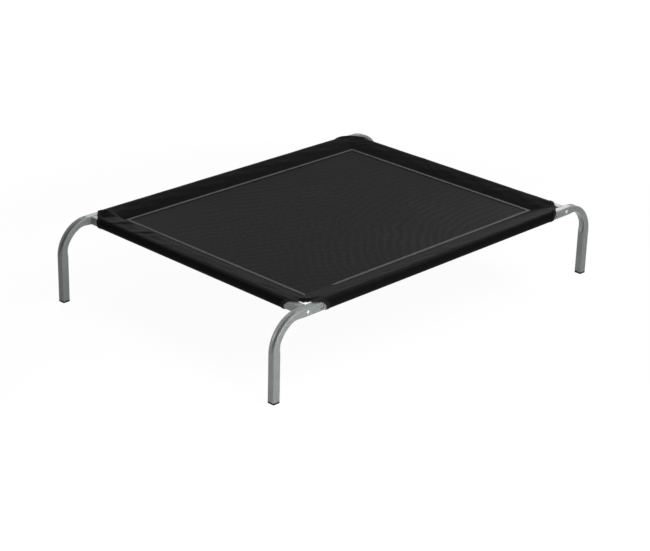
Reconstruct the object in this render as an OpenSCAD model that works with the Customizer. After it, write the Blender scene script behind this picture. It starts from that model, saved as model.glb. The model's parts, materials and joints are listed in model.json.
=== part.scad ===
// Raised dog cot: a bolted frame of square steel tube that holds a stretched mesh bed.
// Sizes are in millimetres. X runs along the long sides, Y along the short sides, Z is up.
// The origin lies on the floor under the middle of the bed.

/* [Frame] */
// Length over the outer faces of the legs
overall_length = 1100; // [800:10:1400]
// Width over the outer faces of the long sides
overall_width = 750; // [500:10:1000]
// Height from the floor to the top of the tubes
overall_height = 200; // [150:5:300]
// Straight stretch of a leg between its bend and the corner bolt
corner_to_bend = 15; // [10:1:40]

/* [Tube] */
// Side of the square tube
tube_side = 20; // [18:0.5:25]
// Wall of the tube
tube_wall = 1.2; // [1:0.1:1.6]
// Outer corner radius of the tube
tube_corner_radius = 3; // [2.5:0.1:4]
// Centre line radius of the leg bends
bend_radius = 75; // [50:1:110]
// Depth of the dish that bending leaves in the inner and the outer face
dish_depth = 2; // [0.5:0.1:3]
// Width of that dish at the middle of the bend
dish_width = 13; // [8:0.5:14]
// Angle from the middle of the bend to where the dish runs out
dish_half_angle = 40; // [30:1:42]
// Clearance on each side of a piece that slides into a tube
slide_clearance = 0.15; // [0.1:0.05:0.3]

/* [Joints in the long sides] */
// Length of the leg arm past the rail screw
arm_past_screw = 27; // [15:1:60]
// Length of the rail's reduced end past the rail screw
spigot_past_screw = 18; // [10:1:22]

/* [Fasteners] */
// Thread diameter of the bolts and screws
bolt_diameter = 6; // [5:0.5:7]
// Length of thread in the short rail's end plug
bolt_engagement = 20; // [10:1:28]
// Length of a rail screw under its head
screw_length = 12; // [9:1:16]
// Diameter of a button head
head_diameter = 10.5; // [9:0.5:13]
// Height of a button head
head_height = 3.3; // [2.5:0.1:4]
// Straight rim at the foot of a button head
head_rim = 0.5; // [0.3:0.1:1]
// Width across the flats of the hexagon socket
socket_flats = 4; // [3:0.5:5]
// Depth of the hexagon socket
socket_depth = 2; // [1:0.1:2.4]
// Width across the flats of the weld nut
nut_flats = 10; // [9:0.5:11]
// Height of the weld nut
nut_height = 5; // [3:0.5:6]
// Gap between a bolt and its hole
hole_clearance = 0.25; // [0.2:0.05:0.5]
// Gap between a bolt and its thread
thread_clearance = 0.05; // [0.03:0.01:0.1]
// Chamfer at the tip of a bolt
tip_chamfer = 0.8; // [0.3:0.1:1]

/* [Plugs and feet] */
// Length of the threaded plug in a short rail's end
plug_length = 30; // [28:1:50]
// Thickness of a foot cap under the tube
foot_flange = 2.5; // [1.5:0.1:6]
// Height of a foot cap inside the tube
foot_plug_height = 16; // [8:1:30]
// Wall of a foot cap inside the tube
foot_plug_wall = 1.6; // [1.2:0.1:3]

/* [Bed] */
// Thickness of the sleeve cloth
cloth_thickness = 0.8; // [0.5:0.1:1.5]
// Gap between the sleeve cloth and the tube
cloth_gap = 0.3; // [0.2:0.05:0.8]
// Thickness of the mesh
mesh_thickness = 1; // [0.6:0.1:2]
// Gap between the mesh and the sewn layers of a sleeve
seam_play = 0.05; // [0.03:0.01:0.1]
// Distance from a rail's centre line to the inner edge of its sleeve
sleeve_depth = 65; // [50:1:100]
// Width of the sewn seam and of the tape on it
seam_width = 8; // [5:0.5:12]
// Thickness of the seam tape
tape_thickness = 0.6; // [0.4:0.1:1.2]
// Drop of the mesh below the centre lines of the rails
bed_drop = 2; // [0:0.5:5]
// Distance along each rail from the centre lines' crossing to the diagonal corner cut
corner_cut = 38; // [30:1:48]
// Clear metal between the sleeve's end and the head of the rail screw
screw_margin = 0.8; // [0.3:0.1:4]

/* [Hidden] */
$fn = 64;
// Length by which a cut runs past the face that it opens
cut_past = 1;
// Smallest radius inside a tube's corner
least_radius = 0.3;
// Steps in each rounded corner of a sleeve
arc_steps = 5;
// Angle by which a dishing ring runs past the dish
dish_past = 6;

// Tube sections, from the outside in
bore_side = tube_side - 2 * tube_wall;
bore_radius = max(tube_corner_radius - tube_wall, least_radius);
spigot_side = bore_side - 2 * slide_clearance;
spigot_radius = max(bore_radius - slide_clearance, least_radius);
spigot_bore_side = spigot_side - 2 * tube_wall;
spigot_bore_radius = max(spigot_radius - tube_wall, least_radius);
foot_bore_side = spigot_side - 2 * foot_plug_wall;

// Centre lines of the frame
leg_x = overall_length / 2 - tube_side / 2;
side_y = overall_width / 2 - tube_side / 2;
rail_z = overall_height - tube_side / 2;
bend_x = leg_x - bend_radius;
bend_z = rail_z - bend_radius;
short_rail_x = bend_x - corner_to_bend;

// The rail screw stands just clear of the sleeve's end, and the tube joint follows the screw
sleeve_reach = tube_side / 2 + cloth_gap + cloth_thickness;
screw_x = short_rail_x - corner_cut - sleeve_reach + head_diameter / 2 + screw_margin;
arm_end_x = screw_x - arm_past_screw;
spigot_end_x = screw_x + spigot_past_screw;

// Layers of the bed
bed_z = rail_z - bed_drop;
slot_half = mesh_thickness / 2 + seam_play;
seam_half = slot_half + cloth_thickness;
mesh_edge = sleeve_depth - seam_width + seam_play;

// Roundness of a button head that meets its rim
dome_rise = head_height - head_rim;
dome_radius = (pow(head_diameter / 2, 2) + pow(dome_rise, 2)) / (2 * dome_rise);

// Ring that presses the dish, from its width and depth, and how far its centre lies off the bend's
dish_ring_radius = (pow(dish_width / 2, 2) + pow(dish_depth, 2)) / (2 * dish_depth);
dish_shift = dish_depth / (1 - cos(dish_half_angle));

frame_grey = "#8d9190";
zinc_bright = "#c9cccb";
steel_plain = "#77797b";
cap_black = "#1c1c1d";
sleeve_black = "#1b1b1c";
mesh_black = "#2d2d2e";
tape_grey = "#505152";

// Places something drawn at the rear right corner at the corner with these signs
module at_corner(x_side, y_side)
    mirror([x_side < 0 ? 1 : 0, 0, 0])
        mirror([0, y_side < 0 ? 1 : 0, 0])
            children();

// Repeats something drawn at the rear right corner at all four corners
module at_all_corners()
    for (x_side = [-1, 1], y_side = [-1, 1])
        at_corner(x_side, y_side) children();

// Square with round corners
module rounded_square(side, radius) {
    straight = side - 2 * radius;
    square([side, straight], center = true);
    square([straight, side], center = true);
    for (x = [-1, 1], y = [-1, 1])
        translate([x, y] * straight / 2) circle(r = radius);
}

module tube_section()
    difference() {
        rounded_square(tube_side, tube_corner_radius);
        rounded_square(bore_side, bore_radius);
    }

// Arm, bend and upright of a leg with one section, run past both ends where it is a cut
module leg_run(side, radius, past_ends) {
    translate([arm_end_x - past_ends, side_y, rail_z])
        rotate([0, 90, 0])
            linear_extrude(bend_x - arm_end_x + past_ends) rounded_square(side, radius);
    translate([bend_x, side_y, bend_z])
        rotate([90, 0, 0])
            rotate_extrude(angle = 90) translate([bend_radius, 0]) rounded_square(side, radius);
    translate([leg_x, side_y, foot_flange - past_ends])
        linear_extrude(bend_z - foot_flange + past_ends) rounded_square(side, radius);
}

// Two ring sectors that bite deepest at the middle of the bend, one in its outer face, one in its inner face
module bend_dishes(thicken)
    for (face = [-1, 1]) {
        face_radius = bend_radius + face * tube_side / 2;
        ring_radius = face_radius + face * (dish_shift - dish_depth + dish_ring_radius);
        half_sector = dish_half_angle + dish_past;
        centre = -face * dish_shift * [cos(45), sin(45)];
        translate([bend_x + centre.x, side_y, bend_z + centre.y])
            rotate([90, 0, 0])
                rotate([0, 0, 45 - half_sector])
                    rotate_extrude(angle = 2 * half_sector)
                        translate([ring_radius, 0]) circle(r = dish_ring_radius + thicken);
    }

module leg(x_side, y_side)
    color(frame_grey) at_corner(x_side, y_side)
        difference() {
            leg_run(tube_side, tube_corner_radius, 0);
            bend_dishes(0);
            difference() {
                leg_run(bore_side, bore_radius, cut_past);
                bend_dishes(tube_wall);
            }
            bolt_hole(short_rail_x, tube_side);
            bolt_hole(screw_x, tube_wall);
        }

// Hole through the outer face of a long side, to the given depth
module bolt_hole(x, depth)
    translate([x, side_y + tube_side / 2 + cut_past, rail_z])
        rotate([90, 0, 0])
            cylinder(d = bolt_diameter + 2 * hole_clearance, h = depth + 2 * cut_past);

// Tube of a long side, with an end at each side reduced to slide into the leg arms
module long_rail(y_side) {
    body_length = 2 * arm_end_x;
    spigot_span = 2 * spigot_end_x;
    color(frame_grey) mirror([0, y_side < 0 ? 1 : 0, 0])
        difference() {
            translate([0, side_y, rail_z]) rotate([0, 90, 0]) difference() {
                union() {
                    linear_extrude(body_length, center = true)
                        rounded_square(tube_side, tube_corner_radius);
                    linear_extrude(spigot_span, center = true)
                        rounded_square(spigot_side, spigot_radius);
                }
                linear_extrude(body_length - 2 * tube_wall, center = true)
                    rounded_square(bore_side, bore_radius);
                linear_extrude(spigot_span + 2 * cut_past, center = true)
                    rounded_square(spigot_bore_side, spigot_bore_radius);
            }
            for (x_side = [-1, 1])
                bolt_hole(x_side * screw_x, tube_side / 2 - spigot_bore_side / 2);
        }
}

module short_rail(x_side)
    color(frame_grey)
        translate([x_side * short_rail_x, 0, rail_z])
            rotate([90, 0, 0])
                linear_extrude(2 * side_y - tube_side, center = true) tube_section();

// Threaded block held in the end of a short rail
module rail_plug(x_side, y_side)
    color(steel_plain) at_corner(x_side, y_side)
        translate([short_rail_x, side_y - tube_side / 2, rail_z])
            rotate([90, 0, 0])
                difference() {
                    linear_extrude(plug_length) rounded_square(spigot_side, spigot_radius);
                    translate([0, 0, -cut_past])
                        cylinder(d = bolt_diameter + 2 * thread_clearance, h = plug_length + 2 * cut_past);
                }

module foot_cap(x_side, y_side)
    color(cap_black) at_corner(x_side, y_side)
        translate([leg_x, side_y, 0]) {
            linear_extrude(foot_flange) rounded_square(tube_side, tube_corner_radius);
            translate([0, 0, foot_flange])
                linear_extrude(foot_plug_height)
                    difference() {
                        rounded_square(spigot_side, spigot_radius);
                        rounded_square(foot_bore_side, least_radius);
                    }
        }

// Bolt with a domed head above Z 0 and its shank below
module button_bolt(length) {
    difference() {
        rotate_extrude()
            intersection() {
                translate([0, head_height - dome_radius]) circle(r = dome_radius);
                square([head_diameter / 2, 2 * head_height]);
            }
        translate([0, 0, head_height - socket_depth])
            cylinder(d = socket_flats / cos(30), h = socket_depth + cut_past, $fn = 6);
    }
    translate([0, 0, tip_chamfer - length])
        cylinder(d = bolt_diameter, h = length - tip_chamfer);
    translate([0, 0, -length])
        cylinder(d1 = bolt_diameter - 2 * tip_chamfer, d2 = bolt_diameter, h = tip_chamfer);
}

module bolt_in_side(x, length)
    translate([x, side_y + tube_side / 2, rail_z]) rotate([-90, 0, 0]) button_bolt(length);

module corner_bolts()
    color(zinc_bright) at_all_corners() bolt_in_side(short_rail_x, tube_side + bolt_engagement);

module rail_screws()
    color(zinc_bright) at_all_corners() bolt_in_side(screw_x, screw_length);

// Nuts welded to the inner face of the rails' reduced ends, one behind each rail screw
module rail_weld_nuts()
    color(steel_plain) at_all_corners()
        translate([screw_x, side_y + spigot_bore_side / 2, rail_z])
            rotate([90, 0, 0])
                difference() {
                    cylinder(d = nut_flats / cos(30), h = nut_height, $fn = 6);
                    translate([0, 0, -cut_past])
                        cylinder(d = bolt_diameter + 2 * thread_clearance, h = nut_height + 2 * cut_past);
                }

function arc(centre, radius, from, to) =
    [for (i = [0:arc_steps]) let (a = from + (to - from) * i / arc_steps)
        centre + radius * [cos(a), sin(a)]];

// Angle at which a line from a point touches the upper or lower side of a circle
function touch_angle(point, centre, radius, side) =
    let (d = point - centre) atan2(d.y, d.x) + side * acos(radius / norm(d));

// Outline of a cloth layer across a rail: X points inwards from the rail's centre line, Y up.
// The layer follows the tube's round corners and runs straight to the sewn seam.
function sleeve_outline(radius, half_seam, past_edge) =
    let (
        c = tube_side / 2 - tube_corner_radius,
        seam_start = sleeve_depth - seam_width,
        seam_end = sleeve_depth + past_edge,
        upper = [seam_start, half_seam - bed_drop],
        lower = [seam_start, -half_seam - bed_drop]
    )
    concat(
        [[seam_end, upper.y], upper],
        arc([c, c], radius, touch_angle(upper, [c, c], radius, 1), 90),
        arc([-c, c], radius, 90, 180),
        arc([-c, -c], radius, 180, 270),
        arc([c, -c], radius, 270, 360 + touch_angle(lower, [c, -c], radius, -1)),
        [lower, [seam_end, lower.y]]
    );

// Plan of a sleeve: mitred from the seam corners, then cut off diagonally over the rails
function sleeve_plan(half_run, half_across) =
    let (
        out = sleeve_reach + cut_past,
        seam = [half_run - sleeve_depth, half_across - sleeve_depth],
        mitre = [half_run - corner_cut / 2, half_across - corner_cut / 2],
        end = [half_run - corner_cut - out, half_across + out]
    )
    [seam, mitre, end, [-end.x, end.y], [-mitre.x, mitre.y], [-seam.x, seam.y]];

// Cloth sleeve folded round a rail along X, with a slot at its inner edge for the mesh
module sleeve(half_run, half_across)
    intersection() {
        translate([0, half_across, rail_z])
            rotate([90, 0, -90])
                linear_extrude(2 * half_run, center = true)
                    difference() {
                        polygon(sleeve_outline(tube_corner_radius + cloth_gap + cloth_thickness, seam_half, 0));
                        polygon(sleeve_outline(tube_corner_radius + cloth_gap, slot_half, cut_past));
                    }
        translate([0, 0, rail_z - tube_side])
            linear_extrude(2 * tube_side) polygon(sleeve_plan(half_run, half_across));
    }

// Tape over the seam of a sleeve that runs along X, mitred at both ends
module seam_tape(half_run, half_across) {
    inner = [half_run - sleeve_depth, half_across - sleeve_depth];
    outer = inner + [seam_width, seam_width];
    translate([0, 0, bed_z + seam_half])
        linear_extrude(tape_thickness)
            polygon([inner, outer, [-outer.x, outer.y], [-inner.x, inner.y]]);
}

// Turns a piece of the bed made for the rear side to the side at the given angle
module long_side_sleeve(angle)
    color(sleeve_black) rotate([0, 0, angle]) sleeve(short_rail_x, side_y);

module short_side_sleeve(angle)
    color(sleeve_black) rotate([0, 0, angle]) sleeve(side_y, short_rail_x);

module long_side_tape(angle)
    color(tape_grey) rotate([0, 0, angle]) seam_tape(short_rail_x, side_y);

module short_side_tape(angle)
    color(tape_grey) rotate([0, 0, angle]) seam_tape(side_y, short_rail_x);

// Stretched mesh whose border is sewn into the slots of the four sleeves
module bed_mesh()
    color(mesh_black)
        translate([0, 0, bed_z])
            cube([2 * (short_rail_x - mesh_edge), 2 * (side_y - mesh_edge), mesh_thickness], center = true);

leg(-1, -1);  // leg_front_left
leg(1, -1);  // leg_front_right
leg(-1, 1);  // leg_rear_left
leg(1, 1);  // leg_rear_right
long_rail(-1);  // long_rail_front
long_rail(1);  // long_rail_rear
short_rail(-1);  // short_rail_left
short_rail(1);  // short_rail_right
rail_plug(-1, -1);  // rail_plug_front_left
rail_plug(1, -1);  // rail_plug_front_right
rail_plug(-1, 1);  // rail_plug_rear_left
rail_plug(1, 1);  // rail_plug_rear_right
foot_cap(-1, -1);  // foot_cap_front_left
foot_cap(1, -1);  // foot_cap_front_right
foot_cap(-1, 1);  // foot_cap_rear_left
foot_cap(1, 1);  // foot_cap_rear_right
corner_bolts();
rail_screws();
rail_weld_nuts();
bed_mesh();
long_side_sleeve(180);  // sleeve_front
long_side_sleeve(0);  // sleeve_rear
short_side_sleeve(90);  // sleeve_left
short_side_sleeve(-90);  // sleeve_right
long_side_tape(180);  // seam_tape_front
long_side_tape(0);  // seam_tape_rear
short_side_tape(90);  // seam_tape_left
short_side_tape(-90);  // seam_tape_right
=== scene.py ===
"""Raised dog cot: a bolted frame of bent square steel tube that carries a stretched bed of black mesh.

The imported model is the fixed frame. The legs, their foot caps, the mesh panel, the cloth sleeves, their
bindings, the seam tapes and the stitches are numpy surfaces built around it. Rails, bolts, screws and the
hidden steel are the frame's own nodes with procedural materials. Lengths are metres, written as
millimetres * MM.
"""
import json
import math

import bmesh
import bpy
import numpy as np
from mathutils import Matrix, Vector


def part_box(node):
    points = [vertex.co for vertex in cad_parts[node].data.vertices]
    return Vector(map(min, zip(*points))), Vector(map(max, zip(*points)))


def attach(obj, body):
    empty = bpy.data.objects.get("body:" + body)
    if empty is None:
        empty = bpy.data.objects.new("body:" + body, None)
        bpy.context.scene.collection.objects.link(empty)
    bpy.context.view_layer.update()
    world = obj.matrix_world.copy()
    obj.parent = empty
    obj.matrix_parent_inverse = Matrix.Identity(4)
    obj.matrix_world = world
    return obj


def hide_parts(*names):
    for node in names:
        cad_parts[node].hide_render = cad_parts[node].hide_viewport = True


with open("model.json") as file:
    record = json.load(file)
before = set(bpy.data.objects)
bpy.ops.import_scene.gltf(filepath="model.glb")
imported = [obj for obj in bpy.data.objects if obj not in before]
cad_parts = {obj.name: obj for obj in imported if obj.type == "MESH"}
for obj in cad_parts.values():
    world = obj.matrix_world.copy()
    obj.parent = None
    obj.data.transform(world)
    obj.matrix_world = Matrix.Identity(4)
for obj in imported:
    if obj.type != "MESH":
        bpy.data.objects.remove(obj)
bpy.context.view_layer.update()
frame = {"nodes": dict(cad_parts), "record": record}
MM = 0.001

# Sizes that the frame gives, with the foot caps' rims a little taller than there
FOOT_RIM_EXTRA = 2 * MM
SCREW_HEAD_RADIUS = 5.25 * MM
leg_low, leg_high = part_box("leg_rear_right")
short_rail_low, short_rail_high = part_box("short_rail_right")
mesh_low, mesh_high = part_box("bed_mesh")
tape_low, tape_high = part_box("seam_tape_rear")
_, screws_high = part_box("rail_screws")
TUBE_SIDE = leg_high.y - leg_low.y
SIDE_Y = (leg_low.y + leg_high.y) / 2
LEG_X = leg_high.x - TUBE_SIDE / 2
RAIL_Z = leg_high.z - TUBE_SIDE / 2
ARM_END_X = leg_low.x
FOOT_HEIGHT = leg_low.z + FOOT_RIM_EXTRA
SHORT_RAIL_X = (short_rail_low.x + short_rail_high.x) / 2
SCREW_X = screws_high.x - SCREW_HEAD_RADIUS
BED_Z = (mesh_low.z + mesh_high.z) / 2
MESH_THICKNESS = mesh_high.z - mesh_low.z
SEAM_OUTER = SIDE_Y - tape_high.y
SEAM_INNER = SIDE_Y - tape_low.y
TAPE_UNDERSIDE = tape_low.z - RAIL_Z

# Sizes of the bent tube
BEND_RADIUS = 75 * MM
TUBE_CORNER = 3 * MM
TUBE_WALL = 1.2 * MM
FOOT_EDGE = 0.6 * MM
FOOT_PLUG = 12 * MM

# Dents of a bend: how far its inner face moves outwards, how far from the middle of the bend that is full and
# where it ends, the width and the depths of the dishes, and the inner dish's place as a share of the bend
# with how far from there it is full and where it ends
BEND_FLATTENING = 4.5 * MM
BEND_LEVEL = 29 * MM
BEND_REACH = 62 * MM
DISH_WIDTH = 13.5 * MM
OUTER_DISH = 3.2 * MM
INNER_DISH = 7 * MM
INNER_DISH_PLACE = 0.84
INNER_DISH_LEVEL = 8 * MM
INNER_DISH_REACH = 30 * MM

# The coat attribute's parts: paler edges, partly a thinner coat and partly a painted highlight; the painted
# highlight that the bends add on their edges; how steeply the painted light and shade change across the
# hollow inside a bend and how far they go on each side; and the share of the colour that all of it changes
EDGE_THIN_COAT_AND_HIGHLIGHT = 0.12
BEND_EDGE_PAINTED_HIGHLIGHT = 0.55
HOLLOW_PAINTED_LIGHT_STEEPNESS = 3
HOLLOW_PAINTED_LIGHT_LIMIT = 1.2
COAT_AND_PAINTED_LIGHT_SHARE = 0.5

# Share of the threads in the shade of the sewn cloths
THREAD_SHARE = 0.4

# Sizes of the cloth
CLOTH_THICKNESS = 0.8 * MM
SEAM_PLAY = 0.05 * MM
SLEEVE_HALF = 12.6 * MM
SLEEVE_SQUARENESS = 2.4
FLAP_RISE = MESH_THICKNESS / 2 + SEAM_PLAY + CLOTH_THICKNESS / 2
PANEL_SAG = 3 * MM
MITRE_RIDGE = 1.0 * MM
MITRE_RIDGE_WIDTH = 2.2 * MM
SCREW_BUMP = 1.6 * MM
SCREW_BUMP_REACH = 7.5 * MM

# Each corner's opening, in mm: how far in from the crossing rail's centre line the cloth's edge lies where it
# leaves the mitre, then on each sleeve at the rail's top, outer shoulder, outer face, lower shoulder and
# underside
OPENINGS = {
    "front_left": {"mitre": 25, "long": (27, 45, 56, 57, 60), "short": (26, 44, 55, 56, 60)},
    "front_right": {"mitre": 15, "long": (30, 43, 53, 53, 54), "short": (27, 41, 48, 50, 54)},
    "rear_left": {"mitre": 11, "long": (17, 28, 31, 34, 38), "short": (18, 34, 36, 35, 38)},
    "rear_right": {"mitre": 6, "long": (6, 26, 52, 54, 56), "short": (7, 33, 58, 60, 60)},
}
OPENING_TOP = 5 * MM
OPENING_SHOULDER = 8 * MM

# Pillow of the sleeves' tops between seam and rail, and how much more of it there is at each corner, in mm:
# height, and the distances along the long and the short side over which it fades
PILLOW = 1.2 * MM
CORNER_PILLOWS = {
    "front_left": {"rise": 2.4, "long": 25, "short": 25},
    "front_right": {"rise": 0.8, "long": 40, "short": 40},
    "rear_left": {"rise": 6.8, "long": 20, "short": 260},
    "rear_right": {"rise": 0.4, "long": 40, "short": 40},
}
PILLOW_EASE = 20 * MM

# Creases beside a corner, on one of its sides, in mm: distance past the mitre, turn of the crease from the
# mitre's slant as a share, and height
CREASES = {
    ("left", "rear_left"): [(80, 0, 2.0), (158, 0.05, 1.9), (188, 0.05, 0.8), (260, -0.1, 0.7)],
    ("left", "front_left"): [(60, 0.2, 0.5), (120, 0.2, 0.4)],
    ("front", "front_left"): [(45, 0.2, 0.6), (95, 0.2, 0.5)],
    ("front", "front_right"): [(38, 0.2, 0.6), (90, 0.2, 0.5), (150, 0.2, 0.4)],
    ("right", "front_right"): [(40, 0.2, 0.4), (150, -0.6, 0.7)],
    ("right", "rear_right"): [(42, 2, 0.5), (66, 2, 0.6), (92, 2, 0.5), (270, -0.8, 1.1)],
    ("rear", "rear_right"): [(42, 2, 0.3), (66, 2, 0.4), (92, 2, 0.4)],
    ("rear", "rear_left"): [(60, 0.2, 0.2)],
}
CREASE_WIDTH = 8 * MM

# Slack of the cloth, in mm: waves along the run with their length and height, and ripples with their lengths
# along and across the cloth and their height
SLACK_WAVES = [(310, 0.25), (173, 0.2), (97, 0.12)]
RIPPLES = [(211, -61, 0.22), (131, 37, 0.24), (71, -29, 0.14), (47, 53, 0.1)]

# Cloth that stands up in a fold along a corner's mitre, in mm: height at the opening, distance in from the
# rail at which it ends, and the distances along the long and the short side over which it fades
CORNER_FOLDS = {"rear_left": {"rise": 11, "foot": 44, "long": 9, "short": 30}}

# Hem of a corner's opening, in mm: how far in from the crossing rail's centre line it is sewn, how far the
# cloth has dropped where it leaves the mitre, and the width over which it rolls down to there
CORNER_HEMS = {"front_left": {"line": 43, "drop": 2.2, "width": 12}}

# How many times its drop a hem may go down, and how far in from the rail it starts to and fully does
HEM_ROLL_LIMIT = 2.2
HEM_CLEAR = 12 * MM
HEM_FREE = 22 * MM

# Sizes of the binding, the tape and the stitches
BINDING_PAST_EDGE = 1.2 * MM
BINDING_WIDTH = 8.7 * MM
BINDING_LOW = -0.35 * MM
BINDING_HIGH = 1.2 * MM
TAPE_CROWN = 0.9 * MM
TAPE_PUCKER = 0.06 * MM
TAPE_TUCK_START = {"front_left": 105 * MM}
TAPE_TUCK_LENGTH = 65 * MM
TAPE_TUCK_DROP = 1.8 * MM
TAPE_COVER = 1.7 * MM
STITCH_LENGTH = 3.4 * MM
STITCH_PITCH = 5 * MM
STITCH_WIDTH = 0.8 * MM
STITCH_EDGE = 1.6 * MM
STITCH_FULLNESS = 1.1
BAND_SQUARENESS = 3

# Numbers of steps in the grids, and how much a sleeve's steps crowd towards its ends
STRAIGHT_STEPS = 6
BEND_STEPS = 61
CORNER_STEPS = 6
LEG_FACE_STEPS = 14
CAP_FACE_STEPS = 3
CAP_EDGE_STEPS = 5
LOOP_STEPS = 1440
SECTION_STEPS = 132
RUN_STEPS = 200
END_CROWDING = 0.6
TAPE_STEPS = 241
BAND_STEPS = 20
PANEL_STEPS = (97, 73)
STITCH_RINGS = 5
STITCH_SIDES = 6

# Angles past which an edge is drawn sharp
LEG_SHARP = math.radians(50)
CAP_SHARP = math.radians(40)
TAPE_SHARP = math.radians(60)

# Sides: turn from the rear side, distance of the rail from the middle, distance of the crossing rails from
# the middle, and the corners at the far and near end of the run
SIDES = {
    "rear": (0, SIDE_Y, SHORT_RAIL_X, "rear_right", "rear_left"),
    "front": (math.pi, SIDE_Y, SHORT_RAIL_X, "front_left", "front_right"),
    "left": (math.pi / 2, SHORT_RAIL_X, SIDE_Y, "rear_left", "front_left"),
    "right": (-math.pi / 2, SHORT_RAIL_X, SIDE_Y, "front_right", "rear_right"),
}

# Corners: their sides of the middle along X and Y, and the sides of the cot whose far and near ends they are
CORNERS = {
    "rear_right": (1, 1, "rear", "right"),
    "rear_left": (-1, 1, "left", "rear"),
    "front_left": (-1, -1, "front", "left"),
    "front_right": (1, -1, "right", "front"),
}


# Materials

def srgb(hex_colour):
    """Linear colour of an sRGB hex value: the standard's straight foot and 2.4 power."""
    channel = np.array([int(hex_colour[i:i + 2], 16) for i in (1, 3, 5)]) / 255
    linear = np.where(channel <= 0.04045, channel / 12.92, ((channel + 0.055) / 1.055) ** 2.4)
    return (*linear.tolist(), 1.0)


def node(tree, kind, settings=None, inputs=None):
    """Adds a shader node, sets its properties, and sets or links its inputs, named or numbered. A node given
    as an input stands for its first output in use."""
    made = tree.nodes.new(f"ShaderNode{kind}")
    for name, value in (settings or {}).items():
        setattr(made, name, value)
    for name, value in (inputs or {}).items():
        if isinstance(value, bpy.types.Node):
            value = next(output for output in value.outputs if output.enabled)
        if isinstance(value, bpy.types.NodeSocket):
            tree.links.new(value, made.inputs[name])
        else:
            made.inputs[name].default_value = value
    return made


def new_tree(name):
    """An empty node tree of a new material."""
    material = bpy.data.materials.new(name)
    material.use_nodes = True
    material.node_tree.nodes.clear()
    return material, material.node_tree


def shade(tree, inputs):
    """Ends a tree in a Principled shader with these inputs."""
    shader = node(tree, "BsdfPrincipled", inputs=inputs)
    node(tree, "OutputMaterial", inputs={"Surface": shader})


def per_metre(size):
    """Scale of a noise texture whose features are about this size."""
    return 1 / size


def wave_scale(pitch):
    """Scale of a wave texture whose bands repeat at this pitch: its sine runs at 20 radians a unit."""
    return 2 * math.pi / (20 * pitch)


def mottled(tree, place, size, detail, dark, light):
    """Noise with features of about this size, and a colour that goes with it from dark to light."""
    noise = node(tree, "TexNoise", inputs={"Vector": place, "Scale": per_metre(size), "Detail": detail})
    colour = node(tree, "Mix", {"data_type": "RGBA"}, {0: noise, 6: srgb(dark), 7: srgb(light)})
    return noise, colour


def plain_weave(tree, place, thread, distortion):
    """Height of a plain weave: the product of two waves, one along each set of threads."""
    waves = [
        node(
            tree, "TexWave", {"bands_direction": direction},
            {"Vector": place, "Scale": wave_scale(thread), "Distortion": distortion, "Detail": 1.0},
        )
        for direction in ("X", "Y")
    ]
    warp, weft = (wave.outputs["Fac"] for wave in waves)
    return node(tree, "Math", {"operation": "MULTIPLY"}, {0: warp, 1: weft})


def powder_coat():
    """Satin grey polyester powder coat, sprayed and baked on steel tube: a cool grey with a soft broad
    highlight, broken by a faint orange peel. The legs' coat attribute makes the colour paler or darker:
    paler on the edges, partly as a thinner coat and partly as a painted highlight, most on the bends' edges;
    darker as a painted shade in the fold outside each bend; and in the hollow inside a bend paler as a
    painted highlight on the side towards the bed and darker as a painted shade on the other."""
    material, tree = new_tree("satin_powder_coat")
    place = node(tree, "TexCoord").outputs["Object"]
    cloud, colour = mottled(tree, place, 28 * MM, 2.0, "#868b89", "#949996")
    peel = node(tree, "TexNoise", inputs={"Vector": place, "Scale": per_metre(2.5 * MM), "Detail": 1.0})
    # The coat attribute: a thinner coat and a painted highlight on the edges, painted light and shade in the
    # bends
    thin_coat_and_painted_light = node(tree, "Attribute", {"attribute_name": "coat"}).outputs["Fac"]
    gain = node(tree, "Math", {"operation": "MULTIPLY_ADD"}, {0: thin_coat_and_painted_light, 1: COAT_AND_PAINTED_LIGHT_SHARE, 2: 1.0})
    coat = node(tree, "Mix", {"data_type": "RGBA", "blend_type": "MULTIPLY"}, {0: 1.0, 6: colour, 7: gain})
    gloss = node(tree, "MapRange", inputs={"Value": cloud, "To Min": 0.16, "To Max": 0.22})
    bump = node(tree, "Bump", inputs={"Strength": 0.12, "Distance": 0.1 * MM, "Height": peel})
    shade(tree, {
        "Base Color": coat, "Roughness": gloss, "Normal": bump, "IOR": 1.5, "Specular IOR Level": 0.3,
    })
    return material


def bare_metal(name, grain, detail, dark, light, roughness):
    """Zinc electroplate on turned steel screws: a bluish metal with a fine lathe grain. Bright plate mirrors
    the lamps, and dull plate is greyer and spreads them. Or plain drawn steel, cut and left bare inside the
    tubes: a dull grey metal with dark mill patches."""
    material, tree = new_tree(name)
    place = node(tree, "TexCoord").outputs["Object"]
    _, colour = mottled(tree, place, grain, detail, dark, light)
    shade(tree, {"Base Color": colour, "Roughness": roughness, "Metallic": 1.0})
    return material


def moulded_polyethylene():
    """Black polyethylene, injection moulded with a spark-eroded grain: a waxy black with a dull sheen."""
    material, tree = new_tree("black_moulded_polyethylene")
    place = node(tree, "TexCoord").outputs["Object"]
    grain, colour = mottled(tree, place, 0.9 * MM, 2.0, "#0a0a0a", "#121212")
    bump = node(tree, "Bump", inputs={"Strength": 0.3, "Distance": 0.1 * MM, "Height": grain})
    shade(tree, {
        "Base Color": colour, "Roughness": 0.6, "Normal": bump, "IOR": 1.51, "Specular IOR Level": 0.06,
    })
    return material


# Marks in the mesh: the arcs' centre, how far from it they are alone and where only streaks are left, the
# pitch of both, the streaks' turn and strength, and the shares of the marks and the yarns in the shade
ARC_CENTRE = (0.3, -0.55)
ARC_NEAR = 0.35
ARC_FAR = 0.95
ARC_PITCH = 21 * MM
STREAK_PITCH = 22 * MM
STREAK_TURN = math.radians(-71)
STREAK_STRENGTH = 0.7
MARK_SHARE = 0.5
YARN_SHARE = 0.25


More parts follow.
